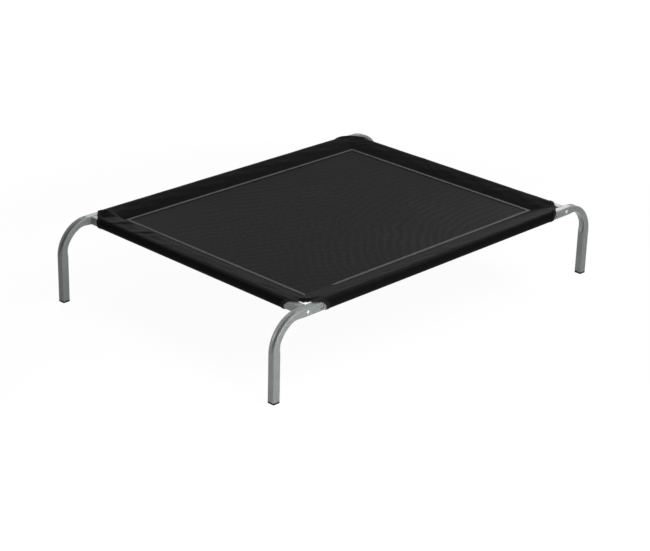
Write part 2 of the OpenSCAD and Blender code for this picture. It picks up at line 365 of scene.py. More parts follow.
def coated_mesh():
    """Black coated polyester yarn woven to an open plain weave: flat black, with a grain of single yarns and
    wide faint marks where the two sets of yarns drift against each other, arcs about one corner that turn to
    straight streaks away from it. The yarns are 1.5 mm apart and are drawn 6 mm apart, because the real
    spacing is finer than a pixel of the picture."""
    material, tree = new_tree("coated_polyester_mesh")
    place = node(tree, "TexCoord").outputs["Object"]
    weave = plain_weave(tree, place, 6 * MM, distortion=0.6)
    grain = node(tree, "TexNoise", inputs={"Vector": place, "Scale": per_metre(4 * MM), "Detail": 2.0})
    ring_place = node(
        tree, "Mapping", inputs={"Vector": place, "Location": (-ARC_CENTRE[0], -ARC_CENTRE[1], 0.0)}
    )
    arcs = node(tree, "TexWave", {"wave_type": "RINGS", "rings_direction": "Z"}, {
        "Vector": ring_place, "Scale": wave_scale(ARC_PITCH), "Distortion": 9.0, "Detail Scale": 0.5,
    })
    patch = node(tree, "TexNoise", inputs={"Vector": place, "Scale": per_metre(120 * MM), "Detail": 1.0})
    streak_place = node(tree, "Mapping", inputs={"Vector": place, "Rotation": (0.0, 0.0, STREAK_TURN)})
    streaks = node(tree, "TexWave", {"bands_direction": "X"}, {
        "Vector": streak_place, "Scale": wave_scale(STREAK_PITCH), "Distortion": 6.0, "Detail Scale": 0.6,
    })
    reach = node(tree, "VectorMath", {"operation": "LENGTH"}, {0: ring_place})
    fade = node(tree, "MapRange", inputs={
        "Value": reach, "From Min": ARC_NEAR, "From Max": ARC_FAR, "To Min": 1.0, "To Max": 0.0,
    })
    weight = node(tree, "MapRange", inputs={"Value": fade, "To Min": STREAK_STRENGTH})
    bands = node(
        tree, "Mix", {"data_type": "FLOAT"},
        {0: fade, 2: streaks.outputs["Fac"], 3: arcs.outputs["Fac"]},
    )
    faded = node(tree, "Math", {"operation": "MULTIPLY"}, {0: weight, 1: patch})
    drift = node(tree, "Math", {"operation": "MULTIPLY"}, {0: bands, 1: faded})
    marks = node(tree, "Math", {"operation": "MULTIPLY_ADD"}, {0: drift, 1: MARK_SHARE, 2: grain})
    tone = node(tree, "Math", {"operation": "MULTIPLY_ADD"}, {0: weave, 1: YARN_SHARE, 2: marks})
    share = node(tree, "MapRange", inputs={"Value": tone, "From Min": 0.3, "From Max": 1.1})
    colour = node(tree, "Mix", {"data_type": "RGBA"}, {0: share, 6: srgb("#121213"), 7: srgb("#2c2c2d")})
    bump = node(tree, "Bump", inputs={"Strength": 0.3, "Distance": 0.25 * MM, "Height": weave})
    shade(tree, {"Base Color": colour, "Roughness": 0.45, "Normal": bump, "Specular IOR Level": 0.013})
    return material


def woven_cloth(name, dark, light, thread, roughness, bump_height):
    """A tight plain weave on the piece's own UV map, in metres: threads both ways raise the surface, and
    slow patches of shade lie over them."""
    material, tree = new_tree(name)
    place = node(tree, "UVMap", {"uv_map": "cloth"}).outputs["UV"]
    weave = plain_weave(tree, place, thread, distortion=0.4)
    patch = node(tree, "TexNoise", inputs={"Vector": place, "Scale": per_metre(20 * MM), "Detail": 3.0})
    tone = node(tree, "Math", {"operation": "MULTIPLY_ADD"}, {0: weave, 1: THREAD_SHARE, 2: patch})
    colour = node(tree, "Mix", {"data_type": "RGBA"}, {0: tone, 6: srgb(dark), 7: srgb(light)})
    bump = node(tree, "Bump", inputs={"Strength": 0.3, "Distance": bump_height, "Height": weave})
    shade(tree, {"Base Color": colour, "Roughness": roughness, "Normal": bump, "Specular IOR Level": 0.011})
    return material


def cloth_materials():
    """The sewn cloths. Sleeves: black coated polyester cloth, calendered, so dark with a soft gloss that
    grows where it is seen along the surface. Tape: dark grey woven polyester tape, a dry ribbed band.
    Binding: black polyester tape folded over the cut edge. Thread: bonded polyester, slightly glossy, black
    on the tapes and bindings and grey along the hems. The cloths' threads are 0.4 to 0.8 mm apart and the
    sewing thread's twist is finer. They are drawn 1 to 2.4 mm apart, so that they show."""
    return {
        "sleeve": woven_cloth("coated_polyester_cloth", "#0b0b0c", "#151516", 2.4 * MM, 0.35, 0.12 * MM),
        "tape": woven_cloth("woven_polyester_tape", "#575858", "#767778", 2.0 * MM, 0.6, 0.2 * MM),
        "binding": woven_cloth("folded_binding_tape", "#191919", "#2a2a2b", 2.0 * MM, 0.5, 0.15 * MM),
        "thread": woven_cloth("bonded_sewing_thread", "#1c1c1d", "#303031", 1.0 * MM, 0.45, 0.05 * MM),
        "hem_thread": woven_cloth("grey_sewing_thread", "#525353", "#707172", 1.0 * MM, 0.45, 0.05 * MM),
    }


# Meshes

def grid_faces(rows, columns, ring_rows=False, ring_columns=False):
    """Corner numbers of a grid's quads, point number = row * columns + column, closed where it is a ring."""
    row = np.arange(rows if ring_rows else rows - 1)[:, None]
    column = np.arange(columns if ring_columns else columns - 1)[None, :]
    next_row = (row + 1) % rows
    next_column = (column + 1) % columns
    corners = [
        row * columns + column, row * columns + next_column,
        next_row * columns + next_column, next_row * columns + column,
    ]
    return np.stack(np.broadcast_arrays(*corners), axis=-1).reshape(-1, 4).tolist()


def capped_faces(rows, columns):
    """Quads of a ring carried through rows, and one many-sided face on each end."""
    first = list(range(columns))
    last = [(rows - 1) * columns + corner for corner in first]
    return [*grid_faces(rows, columns, ring_columns=True), first, last]


def add_object(name, data):
    """A new object in the scene."""
    made = bpy.data.objects.new(name, data)
    bpy.context.scene.collection.objects.link(made)
    return made


def make_piece(name, points, faces, material, uv=None, closed=True, sharp_angle=None):
    """A smooth piece of the object from an array of points and a list of faces. A closed one has its faces
    turned outwards. uv is in metres, one pair for each point."""
    mesh = bpy.data.meshes.new(name)
    mesh.from_pydata(points.reshape(-1, 3).tolist(), [], faces)
    if uv is not None:
        corner_points = np.zeros(len(mesh.loops), dtype=np.int32)
        mesh.loops.foreach_get("vertex_index", corner_points)
        layer = mesh.uv_layers.new(name="cloth")
        layer.data.foreach_set("uv", uv.reshape(-1, 2)[corner_points].ravel().astype(np.float32))
    if closed:
        shell = bmesh.new()
        shell.from_mesh(mesh)
        bmesh.ops.recalc_face_normals(shell, faces=shell.faces)
        shell.to_mesh(mesh)
        shell.free()
    mesh.shade_smooth()
    if sharp_angle is not None:
        mesh.set_sharp_from_angle(angle=sharp_angle)
    mesh.materials.append(material)
    piece = add_object(name, mesh)
    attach(piece, "root")
    return piece


def thicken(piece, thickness):
    """Gives a sheet its thickness, half to each side."""
    wall = piece.modifiers.new("thickness", "SOLIDIFY")
    wall.thickness = thickness
    wall.offset = 0


def oval(half_width, half_height, squareness, steps):
    """Points (steps, 2) round a superellipse, |a/width|^n + |b/height|^n = 1, anticlockwise."""
    angle = np.linspace(0, 2 * math.pi, steps, endpoint=False)
    cosine, sine = np.cos(angle), np.sin(angle)
    return np.stack([
        half_width * np.sign(cosine) * np.abs(cosine) ** (2 / squareness),
        half_height * np.sign(sine) * np.abs(sine) ** (2 / squareness),
    ], axis=1)


def rounded_square(half, radius, arc_steps, face_steps):
    """Points (n, 2) round a square with round corners, anticlockwise: a quarter circle and a straight face,
    turned four times."""
    angle = np.linspace(0, math.pi / 2, arc_steps + 1)
    quarter = half - radius + radius * np.stack([np.cos(angle), np.sin(angle)], axis=1)
    face = np.linspace(quarter[-1], quarter[-1] * (-1, 1), face_steps + 1)[1:-1]
    side = np.concatenate([quarter, face])
    quarter_turn = np.array([[0, 1], [-1, 0]])
    return np.concatenate([side @ np.linalg.matrix_power(quarter_turn, k) for k in range(4)])


def travelled(line):
    """Distance from a line's first point to each of its points, along it."""
    return np.concatenate([[0], np.cumsum(np.linalg.norm(np.diff(line, axis=0), axis=1))])


def unit(vectors):
    """Rows of vectors, each made one long."""
    return vectors / np.linalg.norm(vectors, axis=1, keepdims=True)


# Legs

def eased(offset, level, reach):
    """1 within the level distance, 0 past the reach, and a raised cosine between them."""
    return 0.5 + 0.5 * np.cos(math.pi * np.clip((np.abs(offset) - level) / (reach - level), 0, 1))


def leg_points(x_side, y_side):
    """A rounded square carried along a leg: an arm along X, a quarter bend and an upright down to the foot.
    At distance s the bend has turned by (s - arm) / radius, held between 0 and a quarter turn. As in a bent
    tube the face inside the bend moves outwards, and both that face and the one outside sink by a raised
    cosine across them, the inner one deepest near the upright. All of it eases out along the leg. Gives the
    points, and the coat attribute at each, which makes the paint paler above 0 and darker below: above 0 on
    the edges, partly a thinner coat and partly a painted highlight, most on the bend's; below 0 as a painted
    shade in the fold outside the bend; and a steep sine, cut off, across the hollow inside it: above 0 as a
    painted highlight on the side towards the bed and below 0 as a painted shade on the other."""
    arm = LEG_X - BEND_RADIUS - ARM_END_X
    bend = BEND_RADIUS * math.pi / 2
    total = arm + bend + RAIL_Z - BEND_RADIUS - FOOT_HEIGHT
    middle = arm + bend / 2
    inner_middle = arm + INNER_DISH_PLACE * bend
    start = middle - BEND_REACH
    stop = inner_middle + INNER_DISH_REACH
    distance = np.concatenate([
        np.linspace(0, start, STRAIGHT_STEPS)[:-1],
        np.linspace(start, stop, BEND_STEPS),
        np.linspace(stop, total, STRAIGHT_STEPS)[1:],
    ])[:, None]
    turned = np.clip((distance - arm) / BEND_RADIUS, 0, math.pi / 2)
    along = ARM_END_X + np.minimum(distance, arm) + BEND_RADIUS * np.sin(turned)
    height = RAIL_Z - BEND_RADIUS * (1 - np.cos(turned)) - np.maximum(distance - arm - bend, 0)
    out, across = rounded_square(TUBE_SIDE / 2, TUBE_CORNER, CORNER_STEPS, LEG_FACE_STEPS).T[:, None, :]
    bent = eased(distance - middle, BEND_LEVEL, BEND_REACH)
    inner = eased(distance - inner_middle, INNER_DISH_LEVEL, INNER_DISH_REACH)
    dish_angle = 2 * math.pi * np.clip(across / DISH_WIDTH, -0.5, 0.5)
    dish = 0.5 + 0.5 * np.cos(dish_angle)
    sunk = np.where(out > 0, -OUTER_DISH * bent, INNER_DISH * inner) * dish
    outward = out + BEND_FLATTENING * (0.5 - out / TUBE_SIDE) * bent + sunk
    points = np.stack([
        x_side * (along + outward * np.sin(turned)),
        y_side * (SIDE_Y + across + 0 * outward),
        height + outward * np.cos(turned),
    ], axis=-1)
    # Paler edges, partly a thinner coat and partly a painted highlight, more of it on the bend
    past_face = np.minimum(np.abs(out), np.abs(across)) - (TUBE_SIDE / 2 - TUBE_CORNER)
    edge = np.clip(past_face / (TUBE_CORNER * math.cos(math.pi / 4)), 0, 1)
    # Painted shade in the fold outside the bend, and a painted highlight and a painted shade on the two sides
    # of the hollow inside it
    hollow_painted_light_and_shade = np.clip(HOLLOW_PAINTED_LIGHT_STEEPNESS * np.sin(dish_angle), -HOLLOW_PAINTED_LIGHT_LIMIT, HOLLOW_PAINTED_LIGHT_LIMIT)
    painted_light_and_shade = np.where(out > 0, dish * bent, hollow_painted_light_and_shade * inner)
    coat = edge * (EDGE_THIN_COAT_AND_HIGHLIGHT + BEND_EDGE_PAINTED_HIGHLIGHT * bent) - painted_light_and_shade
    return points, coat


def make_legs(material):
    """The four legs, each in place of its node."""
    for corner, (x_side, y_side, _, _) in CORNERS.items():
        points, coat = leg_points(x_side, y_side)
        faces = capped_faces(*coat.shape)
        leg = make_piece(f"leg_tube_{corner}", points, faces, material, sharp_angle=LEG_SHARP)
        # The coat attribute carries the paler edges and the painted light and shade of the bends to the paint
        layer = leg.data.attributes.new("coat", "FLOAT", "POINT")
        layer.data.foreach_set("value", coat.ravel().astype(np.float32))
        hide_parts(f"leg_{corner}")


def foot_cap_points(x_side, y_side):
    """A rounded square carried up a foot: out by a quarter circle at its lower edge, straight up to the tube,
    in by the tube's wall, and up inside it as a plug."""
    turned = np.linspace(0, math.pi / 2, CAP_EDGE_STEPS)
    inset = np.concatenate([FOOT_EDGE * (1 - np.sin(turned)), [0, TUBE_WALL, TUBE_WALL]])
    plug_top = FOOT_HEIGHT + FOOT_PLUG
    height = np.concatenate([FOOT_EDGE * (1 - np.cos(turned)), [FOOT_HEIGHT, FOOT_HEIGHT, plug_top]])
    out, across = rounded_square(TUBE_SIDE / 2, TUBE_CORNER, CORNER_STEPS, CAP_FACE_STEPS).T[:, None, :]
    share = (1 - 2 * inset / TUBE_SIDE)[:, None]
    return np.stack([
        x_side * (LEG_X + out * share), y_side * (SIDE_Y + across * share), height[:, None] + 0 * out * share,
    ], axis=-1)


def make_foot_caps(material):
    """The four foot caps, each in place of its node."""
    for corner, (x_side, y_side, _, _) in CORNERS.items():
        points = foot_cap_points(x_side, y_side)
        faces = capped_faces(*points.shape[:2])
        cap = make_piece(
            f"moulded_foot_{corner}", points, faces, material, sharp_angle=CAP_SHARP
        )
        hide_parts(f"foot_cap_{corner}")


# Cloth

def sleeve_section():
    """The sleeve's cut across: from the seam straight up to the rail, round it as a superellipse, and
    straight back to the seam, at even steps along the cloth. Gives the distance in from the rail's centre
    line, the height above it, both parts of the outward normal, the length along the cloth, the number of
    the step on the middle of the outer face, and which steps come before it, above the rail."""
    flap_top = BED_Z - RAIL_Z + FLAP_RISE
    flap_bottom = BED_Z - RAIL_Z - FLAP_RISE
    loop = oval(SLEEVE_HALF, SLEEVE_HALF, SLEEVE_SQUARENESS, LOOP_STEPS)
    climb = np.arctan2(loop[:, 1] - flap_top, SEAM_OUTER - loop[:, 0])
    drop = np.arctan2(flap_bottom - loop[:, 1], SEAM_OUTER - loop[:, 0])
    outline = np.concatenate([
        [[SEAM_INNER, flap_top], [SEAM_OUTER, flap_top]],
        loop[climb.argmax():drop.argmax() + 1],
        [[SEAM_OUTER, flap_bottom], [SEAM_INNER, flap_bottom]],
    ])
    distance = travelled(outline)
    length = np.linspace(0, distance[-1], SECTION_STEPS)
    inward = np.interp(length, distance, outline[:, 0])
    up = np.interp(length, distance, outline[:, 1])
    tangent = np.stack([np.gradient(inward), np.gradient(up)])
    tangent /= np.linalg.norm(tangent, axis=0)
    turn = int(np.argmin(inward))
    return {
        "inward": inward, "up": up, "out_in": tangent[1], "out_up": -tangent[0], "length": length,
        "turn": turn, "above": np.arange(SECTION_STEPS) < turn,
    }


def opening_inset(section, corner, side):
    """How far the cloth's edge lies in from the crossing rail's centre line, for each step of the section.
    Where the cloth is mitred it is the distance in from the own rail. Past the mitre it runs straight, along
    the cloth, from each place of OPENINGS to the next. A running mean rounds its bends."""
    inward, length, turn = section["inward"], section["length"], section["turn"]
    opening = OPENINGS[corner]
    above = np.interp(
        [-opening["mitre"] * MM, -OPENING_TOP, OPENING_SHOULDER], -inward[:turn + 1], length[:turn + 1]
    )
    below = np.interp([-OPENING_SHOULDER, OPENING_TOP], inward[turn:], length[turn:])
    insets = np.array([opening["mitre"], *opening[side_kind(side)]]) * MM
    edge = np.maximum(np.interp(length, [*above, length[turn], *below], insets), inward)
    weights = np.array([1, 2, 3, 2, 1]) / 9
    return np.convolve(np.pad(edge, 2, mode="reflect", reflect_type="odd"), weights, mode="valid")


def side_kind(side):
    """Whether a side is a long or a short one, as the corners' values and the rails are named."""
    return "long" if side in ("front", "rear") else "short"


def placed(side, run, inward, up):
    """Points in the row frame of places along a side's rail, in from its centre line and up from it."""
    turn, across, _, _, _ = SIDES[side]
    out = across - inward
    return np.stack([
        math.cos(turn) * run - math.sin(turn) * out,
        math.sin(turn) * run + math.cos(turn) * out,
        RAIL_Z + up + 0 * run,
    ], axis=-1)


def corner_distances(side, run, section):
    """For both corners of a side, the far one first: its name, how far each place of the cloth lies past its
    mitre along the run, and how far it is clear of the opening, which is that plus twice the distance further
    in from the rail than the opening on the mitre."""
    _, _, half_run, far_corner, near_corner = SIDES[side]
    inward = section["inward"][None, :]
    for corner, end in ((far_corner, 1), (near_corner, -1)):
        past_mitre = half_run - end * run - inward
        yield corner, past_mitre, past_mitre + 2 * (inward - OPENINGS[corner]["mitre"] * MM)


def crease_height(side, run, section):
    """Height of the cloth over the plain section: a pillow with the profile 16 * t^2 * (1 - t)^2, t from 0 at
    the seam to 1 over the rail, higher near the corners and flat beside an opening; slow waves along the run,
    and ripples that are sines of the places along and across the cloth; creases with a bell profile that fan
    from the mitre's slant; a sewn ridge on the mitre; and on the long sides a bump over each screw."""
    kind = side_kind(side)
    inward, length, turn, above = (section[key] for key in ("inward", "length", "turn", "above"))
    window = np.where(above, np.sin(math.pi * np.clip(length / length[turn], 0, 1)) ** 2, 0)[None, :]
    climb = np.clip((SEAM_OUTER - inward) / SEAM_OUTER, 0, 1)
    pillow = np.where(above, 16 * climb ** 2 * (1 - climb) ** 2, 0)[None, :]
    puff = PILLOW + 0 * run
    creases = sum(rise * MM * np.sin(2 * math.pi * run / (wave * MM) + wave) for wave, rise in SLACK_WAVES)
    creases = creases + sum(
        rise * MM * np.sin(2 * math.pi * (run / (along * MM) + length[None, :] / (across * MM)))
        for along, across, rise in RIPPLES
    )
    mitres = 0 * run
    for corner, past_mitre, clear in corner_distances(side, run, section):
        extra = CORNER_PILLOWS[corner]
        puff = puff + extra["rise"] * MM * np.exp(-np.maximum(past_mitre, 0) / (extra[kind] * MM))
        ease = np.clip(clear / PILLOW_EASE, 0, 1)
        puff = puff * ease ** 2 * (3 - 2 * ease)
        for distance, slant, rise in CREASES[side, corner]:
            offset = past_mitre + slant * inward[None, :] - distance * MM
            creases = creases + rise * MM * np.exp(-(offset / CREASE_WIDTH) ** 2)
        mitres = mitres + MITRE_RIDGE * np.exp(-(past_mitre / MITRE_RIDGE_WIDTH) ** 2) * above[None, :]
    height = puff * pillow + creases * window + mitres
    if kind == "long":
        from_screw = np.hypot(np.abs(run) - SCREW_X, (length - length[turn])[None, :])
        height = height + SCREW_BUMP * np.exp(-(from_screw / SCREW_BUMP_REACH) ** 4)
    return height


def fold_lift(side, run, section):
    """How far folds along the mitres lift the cloth: rising in a straight line from their foot to the
    opening, and falling off in a straight line away from the mitre. At a hem the cloth drops in a straight
    line towards its edge, less and less near the rail. Over a tucked tape it is held up by TAPE_COVER, in
    straight lines down to the seam and to the rail."""
    inward = section["inward"][None, :]
    above = section["above"][None, :]
    lift = 0 * run
    for corner, past_mitre, clear in corner_distances(side, run, section):
        if corner in CORNER_FOLDS:
            fold = CORNER_FOLDS[corner]
            foot = fold["foot"] * MM
            standing = np.clip((foot - inward) / (foot - OPENINGS[corner]["mitre"] * MM), 0, 1)
            fall = np.clip(1 - past_mitre / (fold[side_kind(side)] * MM), 0, 1)
            lift = lift + fold["rise"] * MM * standing * fall * above
        if corner in CORNER_HEMS:
            hem = CORNER_HEMS[corner]
            down = np.clip(1 - clear / (hem["width"] * MM), 0, HEM_ROLL_LIMIT)
            free = np.clip((inward - HEM_CLEAR) / (HEM_FREE - HEM_CLEAR), 0, 1)
            lift = lift - hem["drop"] * MM * down * free * above
    cover = np.minimum((SEAM_INNER - inward) / (SEAM_INNER - SEAM_OUTER), inward / SEAM_OUTER)
    return lift + TAPE_COVER * np.clip(cover, 0, 1) * tape_tuck(side, run) * above


def cloth_points(side, run, section):
    """Points of a sleeve at places along its run: the section there, raised by its creases along the outward
    normal and lifted by its folds."""
    height = crease_height(side, run, section)
    inward = section["inward"][None, :] + height * section["out_in"][None, :]
    up = section["up"][None, :] + height * section["out_up"][None, :] + fold_lift(side, run, section)
    return placed(side, run, inward, up)


def sleeve_surface(side, section):
    """Points of a sleeve and their places along the run: the section carried along its rail between the edges
    at both corners, at steps that are part even and part a half cosine, so closer near the ends."""
    _, _, half_run, far_corner, near_corner = SIDES[side]
    far = half_run - opening_inset(section, far_corner, side)
    near = opening_inset(section, near_corner, side) - half_run
    even = np.linspace(0, 1, RUN_STEPS)[:, None]
    share = (1 - END_CROWDING) * even + END_CROWDING * (0.5 - 0.5 * np.cos(math.pi * even))
    run = near[None, :] + share * (far - near)[None, :]
    return cloth_points(side, run, section), run


def make_sleeve(side, material, section, surface):
    """One sleeve, with the flat size and the area it was cut to."""
    points, run = surface
    uv = np.stack([run, np.broadcast_to(section["length"], run.shape)], axis=-1)
    faces = [face[::-1] for face in grid_faces(*run.shape)]
    sleeve = make_piece(f"cloth_sleeve_{side}", points, faces, material, uv, closed=False)
    thicken(sleeve, CLOTH_THICKNESS)
    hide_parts(f"sleeve_{side}")
    spans = run[-1] - run[0]
    flat = (float(section["length"][-1]), float(spans.max()))
    area = float((spans[:-1] + spans[1:]).sum() / 2 * section["length"][1])
    return sleeve, flat, area


def opening_edge(side, end, corner, section, surfaces):
    """Points and outward normals along a sleeve's free edge, from the mitre above to the mitre below."""
    under = OPENINGS[corner][side_kind(side)][-1]
    free = section["inward"] <= np.where(section["above"], OPENINGS[corner]["mitre"], under) * MM
    points, run = (values[-1 if end > 0 else 0, free] for values in surfaces[side])
    start = placed(side, run, 0 * run, 0 * run)
    ahead = placed(side, run, section["out_in"][free], section["out_up"][free])
    return points, ahead - start


def smoothed(ring):
    """A ring of rows, each made up half of itself and a quarter of each neighbour."""
    return (np.roll(ring, 1, axis=0) + 2 * ring + np.roll(ring, -1, axis=0)) / 4


def binding_path(corner, section, surfaces):
    """The ring of points round a corner's opening, with unit tangents, outward normals, and directions into
    the cloth, which are normal x tangent."""
    _, _, far_side, near_side = CORNERS[corner]
    far_points, far_normals = opening_edge(far_side, 1, corner, section, surfaces)
    near_points, near_normals = opening_edge(near_side, -1, corner, section, surfaces)
    points = smoothed(smoothed(np.concatenate([far_points, near_points[::-1]])))
    normals = smoothed(smoothed(np.concatenate([far_normals, near_normals[::-1]])))
    tangents = unit(np.roll(points, -1, axis=0) - np.roll(points, 1, axis=0))
    normals = unit(normals - (normals * tangents).sum(axis=1, keepdims=True) * tangents)
    return points, tangents, normals, np.cross(normals, tangents)


def make_binding(corner, material, path):
    """The binding of a corner's opening: a flat oval carried round the edge, folded over it."""
    points, _, normals, into = path
    profile = oval(BINDING_WIDTH / 2, (BINDING_HIGH - BINDING_LOW) / 2, BAND_SQUARENESS, BAND_STEPS)
    width = (profile[:, 0] + BINDING_WIDTH / 2 - BINDING_PAST_EDGE)[None, :, None]
    height = (profile[:, 1] + (BINDING_HIGH + BINDING_LOW) / 2)[None, :, None]
    surface = points[:, None, :] + width * into[:, None, :] + height * normals[:, None, :]
    steps = np.linalg.norm(np.roll(points, -1, axis=0) - points, axis=1)
    run = np.cumsum(steps)[:, None] + 0 * profile[None, :, 0]
    uv = np.stack([run, np.broadcast_to(profile[:, 0], run.shape)], axis=-1)
    faces = grid_faces(*surface.shape[:2], ring_rows=True, ring_columns=True)
    return make_piece(f"corner_binding_{corner}", surface, faces, material, uv=uv)


def tape_tuck(side, run):
    """How far along its tuck a long side's tape is, from 0 where it starts to dip under the cloth to 1 where
    it is all the way down."""
    _, _, half_run, far_corner, _ = SIDES[side]
    if side_kind(side) == "short" or far_corner not in TAPE_TUCK_START:
        return 0 * run
    past = run - (half_run - SEAM_INNER - TAPE_TUCK_START[far_corner])
    return np.clip(past / TAPE_TUCK_LENGTH, 0, 1)


def make_tape(side, material):
    """One seam tape: a low crowned oval carried along the seam, cut to the mitre at both ends, with its
    height puckered by a sine at every second stitch."""
    half_run = SIDES[side][2]
    width = (SEAM_INNER - SEAM_OUTER) / 2
    profile = oval(width, TAPE_CROWN / 2, BAND_SQUARENESS, BAND_STEPS)
    inward = ((SEAM_INNER + SEAM_OUTER) / 2 + profile[:, 0])[None, :]
    share = np.linspace(-1, 1, TAPE_STEPS)[:, None]
    run = share * (half_run - inward)
    pucker = TAPE_PUCKER * np.sin(math.pi * run / STITCH_PITCH)
    dip = TAPE_TUCK_DROP * tape_tuck(side, run)
    up = TAPE_UNDERSIDE + TAPE_CROWN / 2 + profile[:, 1][None, :] + pucker - dip
    points = placed(side, run, inward + 0 * run, up)
    uv = np.stack([run, np.broadcast_to(inward, run.shape)], axis=-1)
    tape = make_piece(
        f"woven_tape_{side}", points, capped_faces(*run.shape), material, uv=uv,
        sharp_angle=TAPE_SHARP,
    )
    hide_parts(f"seam_tape_{side}")
    return tape


def make_stitches(name, centres, along, normals, material):
    """Stitches of one row: a ring carried along each stitch with the girth sqrt(STITCH_FULLNESS - t^2), t
    from -1 to 1, and a face on each end."""
    ring = oval(STITCH_WIDTH / 2, STITCH_WIDTH / 2, 2, STITCH_SIDES)
    share = np.linspace(-1, 1, STITCH_RINGS)[:, None]
    girth = np.sqrt(STITCH_FULLNESS - share ** 2)
    shape = np.stack([
        share * STITCH_LENGTH / 2 + 0 * ring[:, 0], ring[:, 0] * girth, ring[:, 1] * girth,
    ], axis=-1).reshape(-1, 3)
    across = np.cross(normals, along)
    axes = np.stack([along, across, normals], axis=1)
    points = centres[:, None, :] + np.einsum("pk,nkd->npd", shape, axes)
    faces = [
        [corner + number * len(shape) for corner in face]
        for number in range(len(centres))
        for face in capped_faces(STITCH_RINGS, STITCH_SIDES)
    ]
    uv = points[..., :2]
    return make_piece(name, points, faces, material, uv=uv)


def stitch_picks(line):
    """Numbers of the points of a line that lie a stitch's pitch apart along it."""
    distance = travelled(line)
    return np.searchsorted(distance, np.arange(0, distance[-1], STITCH_PITCH))


def make_tape_stitches(side, material):
    """Two rows of stitches along a tape, one near each of its edges."""
    half_run = SIDES[side][2]
    rows = []
    for inward in (SEAM_OUTER + STITCH_EDGE, SEAM_INNER - STITCH_EDGE):
        end = half_run - inward - STITCH_PITCH
        run = np.arange(-end, end, STITCH_PITCH)
        up = TAPE_UNDERSIDE + TAPE_CROWN - TAPE_TUCK_DROP * tape_tuck(side, run)
        rows.append(placed(side, run, inward + 0 * run, up))
    centres = np.concatenate(rows)
    along = np.broadcast_to(placed(side, 1.0, 0.0, 0.0) - placed(side, 0.0, 0.0, 0.0), centres.shape)
    normals = np.broadcast_to([0.0, 0.0, 1.0], centres.shape)
    return make_stitches(f"tape_stitches_{side}", centres, along, normals, material)


def make_binding_stitches(corner, material, path):
    """One row of stitches round a binding, near its inner edge, at even steps along the ring."""
    points, tangents, normals, into = path
    inner = BINDING_WIDTH - BINDING_PAST_EDGE - STITCH_EDGE
    line = points + into * inner + normals * BINDING_HIGH
    picks = stitch_picks(line)
    return make_stitches(f"binding_stitches_{corner}", line[picks], tangents[picks], normals[picks], material)


def make_hem_stitches(corner, side, end, material, section):
    """A row of stitches across a sleeve along its hem, from the mitre over the rail to its outer face."""
    line = CORNER_HEMS[corner]["line"] * MM
    sewn = (section["inward"] < line) & section["above"]
    run = np.full((1, len(sewn)), end * (SIDES[side][2] - line))
    points = cloth_points(side, run, section)[0, sewn]
    normals = placed(side, run[0], section["out_in"], section["out_up"]) - placed(side, run[0], 0, 0)
    tangents = unit(np.gradient(points, axis=0))
    picks = stitch_picks(points)
    centres = points[picks] + normals[sewn][picks] * CLOTH_THICKNESS / 2
    name = f"hem_stitches_{corner}_{side}"
    return make_stitches(name, centres, tangents[picks], normals[sewn][picks], material)


def make_panel(material):
    """The mesh panel: a flat rectangle that sags by PANEL_SAG * (1 - x^2) * (1 - y^2), with x and y from -1
    to 1 across it."""
    half_x, half_y = mesh_high.x, mesh_high.y
    x = np.linspace(-1, 1, PANEL_STEPS[0])[:, None]
    y = np.linspace(-1, 1, PANEL_STEPS[1])[None, :]
    sag = PANEL_SAG * (1 - x ** 2) * (1 - y ** 2)
    points = np.stack([half_x * x + 0 * sag, half_y * y + 0 * sag, BED_Z - sag], axis=-1)
    panel = make_piece("mesh_panel", points, grid_faces(*sag.shape), material, closed=False)
    thicken(panel, MESH_THICKNESS)
    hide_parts("bed_mesh")
    return panel


def make_cloth(mesh_material, cloths):
    """All the cloth: the mesh panel, and on each side its tape, sleeve, corner binding and their stitches."""
    section = sleeve_section()
    tapes = {side: make_tape(side, cloths["tape"]) for side in SIDES}
    panel = make_panel(mesh_material)
    surfaces = {side: sleeve_surface(side, section) for side in SIDES}
    paths = {corner: binding_path(corner, section, surfaces) for corner in CORNERS}
    bindings = {corner: make_binding(corner, cloths["binding"], paths[corner]) for corner in CORNERS}
    for side, (_, _, _, far_corner, near_corner) in SIDES.items():
        sleeve, flat, area = make_sleeve(side, cloths["sleeve"], section, surfaces[side])
        extras = [
            tapes[side],
            make_tape_stitches(side, cloths["thread"]),
            bindings[far_corner],
            make_binding_stitches(far_corner, cloths["thread"], paths[far_corner]),
        ]
        extras += [
            make_hem_stitches(corner, side, end, cloths["hem_thread"], section)
            for corner, end in ((far_corner, 1), (near_corner, -1))
            if corner in CORNER_HEMS
        ]


# Frame nodes

def finish_nodes(finishes):
    """Gives every carried-over node its own finish, or else the finish of its slot in the record."""
    for part in frame["record"]["subparts"]:
        shown = frame["nodes"][part["node"]]
        shown.data.materials.clear()
        shown.data.materials.append(finishes.get(part["node"], finishes[part["material_slot"]]))


# Studio

# Light of the surround on the object, size of the floor, how much of its own white it shows near the cot, how
# bright that white is, and how far from the middle the shadow starts to go and is gone
WORLD_FILL = 0.06
FLOOR_HALF = 8.0
FLOOR_LIFT = 0.9
FLOOR_WHITE = 1.06
FLOOR_SHADOW_REACH = 0.9
FLOOR_WHITE_REACH = 1.7

